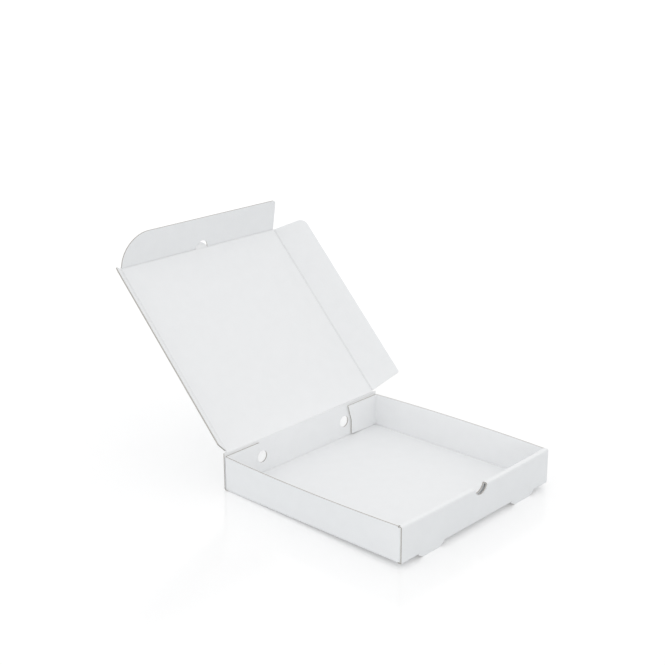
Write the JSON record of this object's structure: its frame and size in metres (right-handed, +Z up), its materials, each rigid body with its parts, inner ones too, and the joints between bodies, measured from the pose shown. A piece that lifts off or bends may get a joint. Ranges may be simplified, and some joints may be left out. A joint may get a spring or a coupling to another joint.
{
  "type": "pizza box",
  "caption": "Square folded carton for a pizza with its hinged lid standing open, side dust flaps, a tuck flap, a double front wall with a thumb notch and vent holes.",
  "frame": {"origin": "middle of the tray's base, on its underside", "axes": "+X to the right along the front wall, +Y from the front wall towards the hinge, +Z up out of the tray"},
  "size_m": [0.29, 0.4098, 0.2539],
  "materials": {
    "board": "white coated, soft matt"
  },
  "bodies": {
    "tray": {"tray": "board"},
    "lid": {"lid": "board"},
    "lid_flap_left": {"lid_flap_left": "board"},
    "lid_flap_right": {"lid_flap_right": "board"},
    "tuck_flap": {"tuck_flap": "board"}
  },
  "joints": [
    {"name": "lid_hinge", "type": "hinge", "parent": "tray", "child": "lid", "pos_m": [0, 0.12075, 0.04175], "axis": [1, 0, 0], "range_deg": [-46.5, 133.5]},
    {"name": "left_flap_fold", "type": "hinge", "parent": "lid", "child": "lid_flap_left", "pos_m": [-0.1175, 0.12021, 0.04227], "axis": [0, 0.6884, 0.7254], "range_deg": [-46.5, 103.5]},
    {"name": "right_flap_fold", "type": "hinge", "parent": "lid", "child": "lid_flap_right", "pos_m": [0.1175, 0.12021, 0.04227], "axis": [0, -0.6884, -0.7254], "range_deg": [-46.5, 103.5]},
    {"name": "tuck_fold", "type": "hinge", "parent": "lid", "child": "tuck_flap", "pos_m": [0, 0.28135, 0.21208], "axis": [1, 0, 0], "range_deg": [-55.5, 60]}
  ],
  "couplings": [
    {"joint": "left_flap_fold", "follows": "lid_hinge", "ratio": 0.75},
    {"joint": "right_flap_fold", "follows": "lid_hinge", "ratio": 0.75},
    {"joint": "tuck_fold", "follows": "lid_hinge", "ratio": 0.32}
  ]
}
